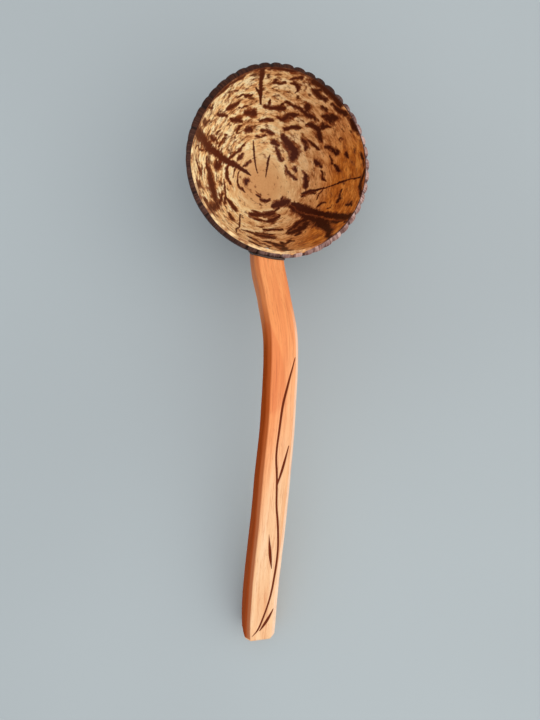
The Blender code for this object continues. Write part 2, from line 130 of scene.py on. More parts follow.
# Dark patches where scraping left the husk side's colour, and how dark each is, 0 to 1
STAINS = [
    (1.0, [(359, 33, 1.6), (363, 33.3, 2.0), (370, 33.2, 1.8)]),
    (.40, [(371, 33.5, .8), (378, 32.5, .9)]),
    (.65, [(23, 28, 1.1), (28, 27, 1.3)]),
    (.40, [(10, 26, 1.2), (20, 23, 1.5), (30, 21.5, 1.4), (40, 22.5, 1.0)]),
    (.60, [(50, 24, .9), (56, 23.2, 1.5), (64, 26, 1.6), (72, 28, 1.3)]),
    (1.0, [(42, 31, 3.0), (46, 34, 3.6), (54, 34.5, 3.2), (62, 35, 2.6), (70, 37, 1.6)]),
    (.75, [(70, 29.6, 1.2), (75, 30.5, 1.6), (79, 31.2, 1.4)]),
    (.60, [(81, 36, 1.2), (88, 36.5, 1.5), (95, 37.6, 1.3)]),
    (.40, [(91, 34, .7), (97, 32.6, .8), (103, 33.6, .6)]),
    (.90, [(16.5, 46, 1.5), (19, 44.8, 1.6), (22.5, 42.8, 1.2)]),
    (.65, [(0, 48, .8), (5, 46.2, 1.3), (11, 45.2, 1.1)]),
    (.55, [(39, 40.5, 1.2), (44, 43.5, 2.4), (50, 43, 1.5)]),
    (.60, [(31, 49.2, 1.0), (37, 48, 1.3), (44, 46, 1.0)]),
    (.90, [(56, 48.2, .8), (61.5, 47.2, 1.9), (66, 45, 1.2), (70.5, 42, 1.0)]),
    (.85, [(66, 55, .8), (70, 52, 1.5), (74, 49, 1.6), (80, 46.8, 1.1)]),
    (.65, [(86, 45, 1.0), (92, 44.6, 1.1), (99, 43.4, .7)]),
    (1.0, [(36, 54, 1.4), (42, 55.2, 2.0), (46, 56.8, 2.3), (50.5, 55.5, 1.8), (55, 52.5, .9)]),
    (.85, [(46, 57, 1.8), (43, 62, 1.4), (40, 65, 1.0)]),
    (.70, [(30, 54.6, 1.0), (25.5, 58, 1.6), (20, 60, 1.8), (22, 62, 1.4)]),
    (.60, [(4, 59.2, 1.0), (9, 57.6, 1.5), (12, 56, .9)]),
    (.45, [(14, 55, .8), (19, 54, .9)]),
    (.70, [(52, 60.5, 1.6), (60, 59, 1.8), (68, 59, 1.2), (80, 59.2, 1.1)]),
    (.90, [(61, 60, 1.8), (63, 64, 1.8)]),
    (1.0, [(78, 55, 1.0), (82, 53.4, 1.6), (88, 52.7, 1.4), (95, 53.6, 1.3)]),
    (.85, [(81, 57.5, .8), (82, 55, 1.0)]),
    (.80, [(92, 58, .8), (92, 55, 1.3)]),
    (1.0, [(104, 50.2, 2.2), (108, 50, 2.6), (112, 51, 2.0)]),
    (1.0, [(41, 73, 1.8), (43.5, 69.5, 2.4), (47, 66, 1.6)]),
    (.70, [(49, 70.4, 1.4), (53, 70, 1.5)]),
    (.45, [(13, 68.5, .9), (16, 66.5, 1.1)]),
    (.50, [(26, 66, 1.0), (27, 68, 1.0)]),
    (.90, [(74, 68, .8), (73.5, 71.5, 1.2), (77, 74, 1.7), (79, 73, 1.0)]),
    (.70, [(84, 72.2, .9), (89, 71, .9), (94, 71.2, 1.2), (93, 73.5, 1.1)]),
    (1.0, [(54, 76, 1.6), (60, 75, 1.9), (64, 76, 2.0), (62, 79, 1.8)]),
    (.95, [(37, 82, 1.3), (42, 79, 2.0), (48, 78, 1.5)]),
    (1.0, [(46, 83, 2.2), (58, 82.5, 2.8), (69, 82.5, 2.4)]),
    (1.0, [(24, 85, 2.0), (29, 82.5, 2.4), (34, 83, 2.0)]),
    (.80, [(75, 81, 1.1), (80, 77.5, 1.4), (82, 76, 1.0)]),
    (.85, [(83, 83, 1.8), (90, 82.4, 2.0), (98, 83, 1.8)]),
    (.60, [(0, 82.5, 1.3), (10, 81.6, 1.4)]),
    (.70, [(109, 38, 1.2), (113, 39.5, 2.0), (116, 41, 1.0)]),
    (.50, [(121, 44, .9), (126, 41.6, 1.2)]),
    (.85, [(118.5, 47, 1.2), (122, 49, 2.0), (127, 51, 1.3), (130, 54, .8)]),
    (.90, [(120, 60, 1.1), (125, 61.2, 1.8), (130, 62.2, 1.3)]),
    (.70, [(108, 62.6, .9), (113, 63.5, 1.2), (119, 65.3, .8)]),
    (.40, [(112, 55.6, .7), (119, 57, .7)]),
    (.45, [(120, 70, .8), (122, 71.3, .8)]),
    (.50, [(138, 45.5, 1.1), (141, 47.4, 1.0)]),
    (.50, [(144, 45.6, 1.0), (151, 45.3, 1.0)]),
    (.50, [(143, 52.5, .9), (148, 53, 1.1)]),
    (.45, [(150, 48.5, 1.2), (153, 53, 1.6), (154, 57, 1.6)]),
    (.45, [(128, 26, 1.0), (135, 25.4, 1.4), (143, 26, .9)]),
    (.35, [(120, 19, .9), (133, 18.2, 1.2), (143, 20, .8)]),
    (.45, [(118, 31, .7), (130, 29.6, .9), (142, 30.2, 1.3), (150, 32.4, 1.0)]),
    (.85, [(157, 29.6, 1.2), (166, 30.4, 1.4), (174, 29.6, 1.5), (178, 27.5, 1.4), (184, 25.6, .9)]),
    (.85, [(161, 38, 2.0), (168, 38.5, 2.3), (172, 39.5, 1.8), (165, 41.8, 1.4)]),
    (.75, [(168, 11.5, 1.8), (173, 13, 2.0), (181, 12, 1.5)]),
    (.60, [(155, 20, .6), (168, 19.4, .8), (185, 19.6, .9), (192, 18, 1.0), (197, 15.6, 1.1),
           (205, 14.6, .6)]),
    (.35, [(160, 24.2, .7), (172, 23.4, .7)]),
    (.50, [(182, 31, .7), (195, 31.2, 1.0), (205, 33.4, 1.0), (213, 38, .9)]),
    (.90, [(207, 32.4, .9), (214, 31.6, 1.6), (226, 31.6, 1.6)]),
    (1.0, [(177, 48.5, 1.8), (183, 46, 2.8), (190, 45.5, 3.6), (197, 45, 3.6), (206, 45.6, 2.6)]),
    (.70, [(200, 36, 1.1), (206, 39, 1.6), (209, 43, 1.8)]),
    (.80, [(167, 52.6, 1.0), (172, 52.5, 1.5), (179, 50.4, 1.2)]),
    (.80, [(184.5, 58.5, 1.2), (182.5, 61.5, 1.9), (179, 66, 1.2), (175, 70, 1.0)]),
    (.60, [(211, 46, 2.2), (211, 56, 3.4), (213, 66, 3.2)]),
    (1.0, [(193, 62, 1.8), (196, 70, 3.0), (199, 76, 3.4), (201, 81, 2.8)]),
    (.75, [(206, 60, 1.8), (206, 70, 2.2), (207, 81, 2.0)]),
    (.95, [(212, 57, 3.0), (214, 68, 4.0), (216, 75, 4.4), (217, 81, 3.0)]),
    (.45, [(231, 60, .8), (236, 74, 1.2), (236, 80, 1.0)]),
    (.55, [(241, 69, .8), (242, 81, 1.2)]),
    (1.0, [(253, 61, 1.4), (257, 65, 2.4), (259, 73, 2.8), (257, 81, 2.4)]),
    (.95, [(277, 65, 2.8), (277, 74, 3.2), (274, 81, 2.4)]),
    (.45, [(225, 40.5, 1.6), (229, 42.5, 2.4)]),
    (.85, [(117, 81, .9), (125, 80.4, 1.5), (135, 81, 1.5), (144, 83.5, 1.6)]),
    (1.0, [(98, 86, 2.4), (112, 85.5, 2.8), (125, 85.5, 3.2), (140, 86, 3.2), (158, 86, 3.0)]),
    (.80, [(60, 86, 3.0), (78, 86.5, 3.0), (100, 86, 2.8)]),
    (.50, [(150, 68.5, 1.0), (154, 71.5, 2.0), (156, 77, 1.6)]),
    (.45, [(167, 60, .9), (169, 66, 1.3), (172, 74, .8)]),
    (.80, [(264, 10.6, .8), (274, 11.8, 1.4), (286, 12.4, 1.4), (299, 12.2, .9)]),
    (.35, [(238, 9, .6), (262, 9, .8)]),
    (.85, [(247, 26.4, 1.4), (255, 25, 2.2), (263, 24.6, 1.5)]),
    (.50, [(250, 22, 1.2), (270, 23.5, 2.6), (292, 23.5, 2.2)]),
    (.90, [(271, 21, .8), (280, 21.6, 1.2), (291, 21.6, 1.0), (306, 21.2, 1.0)]),
    (.55, [(247, 29.4, .9), (262, 29, 1.2), (280, 30.2, 1.0)]),
    (.95, [(276, 30, 1.3), (283, 29.6, 2.6), (290, 28, 2.2), (297, 26.6, 1.0)]),
    (.95, [(297, 18, 1.2), (306, 18, 2.2), (314, 19.2, 2.4), (322, 21, 3.0), (328, 23.5, 2.4)]),
    (.70, [(326, 17.6, 1.0), (332, 18, 1.3)]),
    (.90, [(322, 27, 1.6), (323, 33, 3.0), (321, 39, 2.8), (321, 46, 3.6), (320, 54, 4.4),
           (319, 61, 4.4), (316, 67, 3.0), (312, 73, 2.6), (308, 79, 2.4), (304, 86, 2.6)]),
    (.80, [(323, 66, 2.6), (324, 74, 1.4), (322, 86, 1.2)]),
    (1.0, [(259, 46, 1.4), (266, 46.8, 2.4), (276, 47.2, 1.6)]),
    (.75, [(243, 47.2, .8), (250, 45.8, 1.4), (258, 45.2, 1.4)]),
    (.70, [(258, 43.4, .9), (268, 43, 1.2), (278, 43.6, .9)]),
    (.85, [(268, 38.4, 1.0), (278, 38, 1.3), (289, 39.4, 1.0)]),
    (.50, [(263, 36.4, .8), (268, 35, .8)]),
    (.80, [(290, 44, 1.0), (298, 42.4, 1.7), (310, 41.4, 1.6), (318, 43, 1.8)]),
    (.60, [(295, 46.5, 3.0), (304, 47, 3.6), (314, 47, 3.6)]),
    (.90, [(303, 48.6, 1.4), (308, 48.4, 1.8)]),
    (.75, [(296, 51.6, 1.2), (302, 50.6, 1.8)]),
    (.95, [(265, 53.6, 1.0), (271, 54.8, 1.6), (274.5, 58.5, 2.6), (278, 61, 2.6), (278, 65, 1.8)]),
    (.80, [(280, 53.6, .9), (281.5, 57.5, 1.8)]),
    (.85, [(284, 57, 1.3), (288, 55.6, 1.7), (292, 56.8, .9)]),
    (.45, [(249, 53, 1.1), (255, 54.5, 1.6), (261, 57, 1.2)]),
    (.70, [(251, 63, 1.2), (257, 64, 1.7), (262, 65, 1.0)]),
    (.50, [(263, 59.5, 1.4), (268, 62, 1.6), (267, 67, .9)]),
    (.90, [(343.5, 31.4, .8), (347, 34, 1.3), (350, 38, 1.1), (350.5, 41, .8)]),
    (.50, [(335, 46.4, .9), (338, 48.4, 1.1), (340, 51, .9)]),
    (.50, [(343, 43.2, .8), (349, 44.2, 1.0), (353, 47, .9)]),
    (.50, [(340, 60.5, 1.0), (343, 62.6, 1.3), (350, 61.6, 1.0)]),
    (.40, [(335, 55, .9), (336, 57, .9)]),
    (.90, [(342, 86, 2.0), (347, 82, 2.0), (352, 80, 1.6), (358, 83, 1.4)]),
    (.45, [(338, 70, .8), (337, 77, 1.2)]),
]


# ---------------------------------------------------------------- number helpers

def smoothstep(low, high, value):
    t = np.clip((value - low) / (high - low), 0.0, 1.0)
    return t * t * (3.0 - 2.0 * t)


def ring_angles(count):
    """Evenly spaced directions round a ring, in radians from +X."""
    return np.arange(count) * math.tau / count


def signed_degrees(angle):
    """The same direction as a number of degrees from -180 to 180."""
    return np.mod(angle + 180.0, 360.0) - 180.0


def catmull_rom(values, t):
    """Reads a smooth curve through rows of numbers; t runs from 0 to len(values) - 1."""
    last = len(values) - 1
    i = min(int(t), last - 1)
    u = t - i
    p1, p2 = values[i], values[i + 1]
    p0 = values[i - 1] if i > 0 else [2 * a - b for a, b in zip(p1, p2)]
    p3 = values[i + 2] if i + 2 <= last else [2 * b - a for a, b in zip(p1, p2)]
    return [0.5 * (2 * b + (c - a) * u + (2 * a - 5 * b + 4 * c - d) * u ** 2
                   + (3 * b - a - 3 * c + d) * u ** 3)
            for a, b, c, d in zip(p0, p1, p2, p3)]


def soft_noise(points, octaves):
    """Smooth noise around 0 at each row of an array of points."""
    fall_off, step_in_scale = 1.0, 2.0
    return np.array([noise.fractal(Vector(p), fall_off, step_in_scale, octaves) for p in points])


# ---------------------------------------------------------------- mesh helpers

def add_object(name, data):
    obj = bpy.data.objects.new(name, data)
    bpy.context.scene.collection.objects.link(obj)
    return obj


class Skin:
    """A mesh of rings that starts at a tip; a ring may have half or twice the last one's points."""

    def __init__(self, tip):
        self.points, self.faces = [], []
        self.last = self.add([tip])

    def add(self, points):
        start = len(self.points)
        self.points += [tuple(p) for p in points]
        return range(start, len(self.points))

    def ring(self, points):
        new = self.add(points)
        self.stitch(self.last, new)
        self.last = new

    def tip(self, point):
        self.stitch(self.last, self.add([point]))

    def stitch(self, a, b):
        if len(a) > len(b):
            a, b = b, a
        n = len(a)
        for i in range(n):
            j = (i + 1) % n
            if n == 1:
                self.faces += [(a[0], b[k], b[(k + 1) % len(b)]) for k in range(len(b))]
            elif len(b) == n:
                self.faces.append((a[i], a[j], b[j], b[i]))
            else:
                middle, after = b[2 * i + 1], b[(2 * i + 2) % len(b)]
                self.faces.append((a[i], b[2 * i], middle))
                self.faces.append((a[i], middle, after, a[j]))

    def build(self, name):
        mesh = bpy.data.meshes.new(name)
        mesh.from_pydata(self.points, [], self.faces)
        bm = bmesh.new()
        bm.from_mesh(mesh)
        bmesh.ops.recalc_face_normals(bm, faces=bm.faces)
        bm.to_mesh(mesh)
        bm.free()
        mesh.shade_smooth()
        return add_object(name, mesh)


def mesh_points(obj):
    points = np.empty(len(obj.data.vertices) * 3)
    obj.data.vertices.foreach_get("co", points)
    return points.reshape(-1, 3)


def set_points(obj, points):
    obj.data.vertices.foreach_set("co", np.asarray(points, dtype=float).ravel())
    obj.data.update()


def store(obj, name, values):
    """Keeps one number, or a row of three, for each point of the mesh; the materials read them."""
    vector = np.ndim(values) == 2
    layer = obj.data.attributes.new(name, 'FLOAT_VECTOR' if vector else 'FLOAT', 'POINT')
    layer.data.foreach_set("vector" if vector else "value", np.asarray(values, dtype=float).ravel())


def cut(obj, cutters):
    """Cuts closed shapes out of a piece for good and removes the cutters."""
    for cutter in cutters:
        modifier = obj.modifiers.new(cutter.name, 'BOOLEAN')
        modifier.object = cutter
        modifier.operation = 'DIFFERENCE'
        modifier.solver = 'EXACT'
    bpy.context.view_layer.update()
    evaluated = obj.evaluated_get(bpy.context.evaluated_depsgraph_get())
    mesh = bpy.data.meshes.new_from_object(evaluated)
    obj.modifiers.clear()
    obj.data = mesh
    for cutter in cutters:
        bpy.data.objects.remove(cutter, do_unlink=True)


# ---------------------------------------------------------------- material helpers

def srgb(red, green, blue):
    """A colour given as it looks on a screen, 0 to 255, as the shader wants it."""
    linear = [(c / 255 / 12.92) if c < 11 else ((c / 255 + 0.055) / 1.055) ** 2.4
              for c in (red, green, blue)]
    return (*linear, 1.0)


class Graph:
    """Builds a material's nodes; each method returns the new node's output."""

    def __init__(self, name):
        self.material = bpy.data.materials.new(name)
        self.material.use_nodes = True
        self.tree = self.material.node_tree
        self.shader = self.tree.nodes["Principled BSDF"]

    def feed(self, socket, value):
        if isinstance(value, bpy.types.NodeSocket):
            self.tree.links.new(value, socket)
        else:
            socket.default_value = value

    def node(self, kind, inputs, output=0, **settings):
        node = self.tree.nodes.new(kind)
        for name, value in settings.items():
            setattr(node, name, value)
        for name, value in inputs.items():
            self.feed(node.inputs[name], value)
        return node.outputs[output]

    def number(self, name):
        return self.node("ShaderNodeAttribute", {}, "Fac", attribute_name=name)

    def place(self, name):
        return self.node("ShaderNodeAttribute", {}, "Vector", attribute_name=name)

    def math(self, operation, a, b=0.0, c=0.0):
        return self.node("ShaderNodeMath", {0: a, 1: b, 2: c}, operation=operation)

    def sway(self, base, noise, amount):
        """The base moved up and down by a noise, which itself lies around 0.5."""
        return self.math('MULTIPLY_ADD', self.math('SUBTRACT', noise, 0.5), amount, base)

    def noise(self, place, scale, detail, roughness, distortion=0.0):
        """Noise with its own scale along each axis of the place it is read at."""
        vector = self.node("ShaderNodeVectorMath", {0: place, 1: scale}, operation='MULTIPLY')
        return self.node("ShaderNodeTexNoise", {"Vector": vector, "Scale": 1.0, "Detail": detail,
                                                "Roughness": roughness, "Distortion": distortion})

    def ramp(self, value, stops):
        """Colours given as they look on a screen, each at its position from 0 to 1."""
        node = self.tree.nodes.new("ShaderNodeValToRGB")
        elements = node.color_ramp.elements
        while len(elements) < len(stops):
            elements.new(0.5)
        for element, (position, colour) in zip(elements, stops):
            element.position = position
            element.color = srgb(*colour)
        self.feed(node.inputs[0], value)
        return node.outputs[0]

    def span(self, value, low, high, out_low=0.0, out_high=1.0):
        return self.node("ShaderNodeMapRange", {"Value": value, "From Min": low, "From Max": high,
                                                "To Min": out_low, "To Max": out_high},
                         interpolation_type='SMOOTHSTEP')

    def mix(self, factor, a, b):
        """The node has sockets for each kind of data: 6, 7 and output 2 are those for colours."""
        return self.node("ShaderNodeMix", {0: factor, 6: a, 7: b}, 2, data_type='RGBA')

    def over(self, base, colour, value, low, high, most=1.0):
        """Lays a colour over the base, fading in as value goes from low to high."""
        return self.mix(self.span(value, low, high, 0.0, most), base, srgb(*colour))

    def wash(self, base, colour, mask, share):
        """Lays a colour over the base where the mask says, and no more than share of it."""
        return self.mix(self.math('MULTIPLY', mask, share), base, srgb(*colour))

    def bump(self, height, distance):
        return self.node("ShaderNodeBump", {"Height": height, "Distance": distance})

    def surface(self, **values):
        for name, value in values.items():
            self.feed(self.shader.inputs[name.replace("_", " ")], value)
        return self.material


# ---------------------------------------------------------------- shell

SHELL_PLACE = Matrix.Translation(RIM_CENTRE) @ Euler(SHELL_LEAN).to_matrix().to_4x4()
SHELL_CENTRE = np.array(SHELL_PLACE.translation)
SHELL_TURN = np.array(SHELL_PLACE.to_3x3())
LOBE_SEGMENTS = 12
RIM_SEGMENTS = NOTCHES * LOBE_SEGMENTS
# Points on a ring, and the smallest radius in mm that still needs so many
RING_COUNTS = ((576, 26.0), (288, 13.0), (144, 6.5), (72, 3.2), (36, 0.0))
INNER_ROWS, OUTER_ROWS, BEVEL_ROWS, COLLAR_ROWS = 108, 58, 9, 6
COLLAR_LEVEL = 7.0 * MM         # the notches have run out this far below the rim
NOTCH_SHARPNESS = 2.8
NOTCH_SPACING = 0.07            # how far a notch may be from its even place, in lobes
NOTCH_DEPTHS = (0.70, 1.20)     # of the shallowest and the deepest notch

SEAM_DEPTH, CRACK_DEPTH = 0.30 * MM, 0.12 * MM
SKIN_WAVES = 0.16 * MM
RIDGES = (102.0, 160.0, 328.0)  # directions of the seams, which stand out on the outer skin
RIDGE_HEIGHT, RIDGE_WIDTH = 0.30 * MM, 5.0
HALVINGS = 26                   # of a range, when the place of a point on a skin is looked for

# From the flat sawn face out and down over the filed corner, in mm: how far in from the wall, how
# far below the rim, and what a notch adds to both
BEVEL_STEPS = (0.0, 0.25, 0.5, 0.75, 1.0)
BEVEL_INWARD = (2.90, 2.05, 1.20, 0.50, 0.00)
BEVEL_DROP = (0.00, 0.25, 0.80, 1.45, 2.20)
NOTCH_INWARD = (0.30, 0.65, 0.90, 0.75, 0.50)
NOTCH_DROP = (0.00, 0.35, 0.80, 1.15, 1.50)


def around(angle, middle, half_width, fade=15.0):
    """1 within half_width of a direction round the shell and 0 beyond the fade; all in degrees."""
    away = np.abs(signed_degrees(np.degrees(angle) - middle))
    return 1.0 - smoothstep(half_width - fade, half_width + fade, away)


def bevel_size(angle):
    """How much of the full corner was filed off: least on the left and beside the handle."""
    return 1.0 - 0.50 * around(angle, 212.0, 58.0) - 0.15 * around(angle, 165.0, 25.0)


def nature_at(level):
    """The uneven natural outline fades out towards the bottom."""
    return 1.0 - np.minimum(1.0, -np.minimum(level, 0.0) / SHELL_DEPTH) ** 2


def lobe_at(angle):
    return (LOBE_3 * np.cos(3 * angle - LOBE_3_START)
            + LOBE_4 * np.cos(4 * angle - LOBE_4_START))


def skin_at_climb(climb, inset, depth_inset):
    """Radius and level on a skin inside the outer one."""
    low = SHELL_DEPTH - depth_inset - WIDEST_LEVEL
    return (SHELL_RADIUS - inset) * np.sin(climb), -WIDEST_LEVEL - low * np.cos(climb)


def climb_at_level(level, depth_inset=0.0):
    low = SHELL_DEPTH - depth_inset - WIDEST_LEVEL
    return np.arccos((-level - WIDEST_LEVEL) / low)


def shell_ring(angle, radius, level):
    """Points of a ring in the shell's own frame; radius and level may differ from point to point."""
    radius = radius + nature_at(level) * lobe_at(angle)
    return np.stack([radius * ACROSS * np.cos(angle), radius * ALONG * np.sin(angle),
                     level + 0.0 * angle], axis=-1)


def ring_count(radius, most):
    return next(count for count, smallest in RING_COUNTS
                if radius > smallest * MM and count <= most)


def notch_depths(angles, rng):
    """1 in the valley of an average notch, 0 on the crest of a lobe; the spacing is by hand."""
    shifts = rng.uniform(-NOTCH_SPACING, NOTCH_SPACING, NOTCHES)
    places = np.arange(NOTCHES + 1) + np.append(shifts, 0.0)
    places[-1] = places[0] + NOTCHES
    depths = rng.uniform(*NOTCH_DEPTHS, NOTCHES + 1)
    depths[-1] = depths[0]
    turn = np.mod(angles / math.tau * NOTCHES - places[0], NOTCHES) + places[0]
    index = np.clip(np.searchsorted(places, turn, side='right') - 1, 0, NOTCHES - 1)
    across = (turn - places[index]) / (places[index + 1] - places[index])
    side = np.where(across < 0.5, depths[index], depths[index + 1])
    return side * np.abs(1.0 - 2.0 * across) ** NOTCH_SHARPNESS


def stroke_distance(angle, climb, stroke):
    """Distance from a stroke over its half width, all in degrees measured on the surface."""
    best = np.full(angle.shape, np.inf)
    lowest = 4.0                    # below this climb a degree round is kept from shrinking away
    shrink = np.sin(np.radians(np.clip(climb, lowest, 90.0)))
    for (a0, c0, w0), (a1, c1, w1) in zip(stroke, stroke[1:]):
        across = signed_degrees(angle - a0) * shrink
        run, rise = (a1 - a0) * shrink, c1 - c0
        t = np.clip((across * run + (climb - c0) * rise) / (run ** 2 + rise ** 2), 0.0, 1.0)
        distance = np.hypot(across - t * run, climb - c0 - t * rise) / (w0 + (w1 - w0) * t)
        best = np.minimum(best, distance)
    return best


def round_and_out(local):
    """Direction round the shell, and radius without its uneven outline, of points in its frame."""
    across, along = local[:, 0] / ACROSS, local[:, 1] / ALONG
    angle = np.arctan2(along, across)
    return angle, np.hypot(along, across) - nature_at(local[:, 2]) * lobe_at(angle)


def shell_places(local):
    """Angle round and climb, in degrees, and place through the wall: 0 inner skin, 1 outer skin."""
    angle, radius = round_and_out(local)
    below = -local[:, 2] - WIDEST_LEVEL
    low = SHELL_DEPTH - WIDEST_LEVEL
    # An inset of 0 is the outer skin and 1 the inner one; the point's own is between -1 and 2
    inside, outside = np.full(radius.shape, 2.0), np.full(radius.shape, -1.0)
    for _ in range(HALVINGS):
        inset = (inside + outside) / 2
        across = radius / (SHELL_RADIUS - WALL_AT_RIM * inset)
        down = below / (low - WALL_AT_BOTTOM * inset)
        within = np.hypot(across, down) < 1.0
        outside, inside = np.where(within, inset, outside), np.where(within, inside, inset)
    return np.degrees(angle), np.degrees(np.arctan2(across, down)), 1.0 - inset


def inner_relief(angle, climb):
    """How far the inner skin sinks, in metres: open seams and slow unevenness from scraping."""
    a, c = np.degrees(angle), np.degrees(climb)
    sunk = np.zeros(a.shape)
    for stroke in SEAMS:
        sunk = np.maximum(sunk, SEAM_DEPTH * np.exp(-1.5 * stroke_distance(a, c, stroke) ** 2))
    for stroke in CRACKS:
        sunk = np.maximum(sunk, CRACK_DEPTH * np.exp(-stroke_distance(a, c, stroke) ** 2))
    where = np.stack([np.sin(climb) * np.cos(angle) * 3.2, np.sin(climb) * np.sin(angle) * 3.2,
                      climb * 3.5 + 7.0], axis=-1)
    return sunk + SKIN_WAVES * soft_noise(where, 3)


def outer_relief(angle, climb):
    """How far the outer skin stands out: three faint ridges over the seams and shallow waves."""
    out = np.zeros(angle.shape)
    for middle in RIDGES:
        away = signed_degrees(np.degrees(angle) - middle)
        out += RIDGE_HEIGHT * np.exp(-(away / RIDGE_WIDTH) ** 2) * np.sin(climb)
    where = np.stack([np.cos(angle) * 2.6, np.sin(angle) * 2.6, climb * 2.2 + 31.0], axis=-1)
    return out + SKIN_WAVES * soft_noise(where, 2)


def push_out(points, angle, climb, distance):
    """Moves points of a ring along the outward normal of the skin."""
    flare = SHELL_RADIUS / (SHELL_DEPTH - WIDEST_LEVEL)
    normal = np.stack([np.sin(climb) * np.cos(angle), np.sin(climb) * np.sin(angle),
                       -flare * np.cos(climb) + 0.0 * angle], axis=-1)
    normal /= np.linalg.norm(normal, axis=1)[:, None]
    return points + normal * np.reshape(distance, (-1, 1))


def add_inner_skin(skin):
    """From the middle of the bottom up to the rim."""
    top = climb_at_level(0.0, WALL_AT_BOTTOM)
    for row in range(1, INNER_ROWS + 1):
        climb = top * row / INNER_ROWS
        radius, level = skin_at_climb(climb, WALL_AT_RIM, WALL_AT_BOTTOM)
        angle = ring_angles(ring_count(radius, RIM_SEGMENTS))
        fade = 1.0 - smoothstep(0.985, 1.0, row / INNER_ROWS)   # the rim's own edge stays even
        sunk = inner_relief(angle, climb + 0.0 * angle) * fade
        skin.ring(push_out(shell_ring(angle, radius, level), angle, climb, sunk))


def add_rim(skin):
    """The flat sawn face, the filed corner, and a collar where the notches run out."""
    angle = ring_angles(RIM_SEGMENTS)
    filed = bevel_size(angle)
    notch = notch_depths(angle, np.random.default_rng(SEED))
    notch = notch * (1.0 - 0.45 * around(angle, 165.0, 70.0))
    for row in range(BEVEL_ROWS + 1):
        step = row / BEVEL_ROWS
        inward = (np.interp(step, BEVEL_STEPS, BEVEL_INWARD) * filed
                  + notch * np.interp(step, BEVEL_STEPS, NOTCH_INWARD)) * MM
        drop = (np.interp(step, BEVEL_STEPS, BEVEL_DROP)
                + notch * np.interp(step, BEVEL_STEPS, NOTCH_DROP)) * filed * MM
        skin.ring(shell_ring(angle, SHELL_RADIUS * np.sin(climb_at_level(-drop)) - inward, -drop))
    first_drop = drop
    for row in range(1, COLLAR_ROWS + 1):
        step = row / COLLAR_ROWS
        drop = first_drop + (COLLAR_LEVEL - first_drop) * step
        inward = notch * NOTCH_INWARD[-1] * MM * (1.0 - step) ** 2
        climb = climb_at_level(-drop)
        points = shell_ring(angle, SHELL_RADIUS * np.sin(climb) - inward, -drop)
        skin.ring(push_out(points, angle, climb, outer_relief(angle, climb) * step))


def add_outer_skin(skin):
    """From under the collar down to the middle of the bottom."""
    top = float(climb_at_level(-COLLAR_LEVEL))
    for row in range(1, OUTER_ROWS):
        climb = top * (1.0 - row / OUTER_ROWS)
        radius, level = skin_at_climb(climb, 0.0, 0.0)
        angle = ring_angles(ring_count(radius, RIM_SEGMENTS // 2))
        out = outer_relief(angle, climb + 0.0 * angle)
        skin.ring(push_out(shell_ring(angle, radius, level), angle, climb, out))
    skin.tip((0.0, 0.0, -SHELL_DEPTH))


def screw_seat(name, height):
    """The cutter for the shallow seat under a screw's head, in the shell's own frame."""
    seat = turned(name + "_seat", [(SPOT_FACE * 0.86, HEAD_UNDERSIDE), (SPOT_FACE, -HEAD_EDGE),
                                   (SPOT_FACE, -6.0 * MM)])
    seat.data.transform(SHELL_PLACE.inverted() @ screw_place(height))
    return seat


def build_shell():
    skin = Skin(tip=(0.0, 0.0, skin_at_climb(0.0, WALL_AT_RIM, WALL_AT_BOTTOM)[1]))
    add_inner_skin(skin)
    add_rim(skin)
    add_outer_skin(skin)
    shell = skin.build("ladle_shell")
    cut(shell, [screw_seat(name, height) for name, height in SCREW_HEIGHTS.items()])
    shell.data.shade_smooth()
    shell.data.set_sharp_from_angle(angle=math.radians(50))
    mark_shell(shell)

    points = mesh_points(shell) @ SHELL_TURN.T + SHELL_CENTRE
    points[:, 2] = np.maximum(points[:, 2], 0.0)        # the rounded bottom is worn flat
    set_points(shell, points + np.array(FRAME_SHIFT))
    shell.data.materials.append(shell_material())
    return shell


def strongest(angle, climb, marks):
    """Cover by the nearest mark, 0.5 at its edge and 1 on its middle line, and that mark's depth."""
    cover, depth = np.zeros(angle.shape), np.zeros(angle.shape)
    for strength, stroke in marks:
        here = np.clip(1.0 - 0.5 * stroke_distance(angle, climb, stroke), 0.0, 1.0)
        depth = np.where(here * strength > cover * depth, strength, depth)
        cover = np.maximum(cover, here)
    return cover, depth


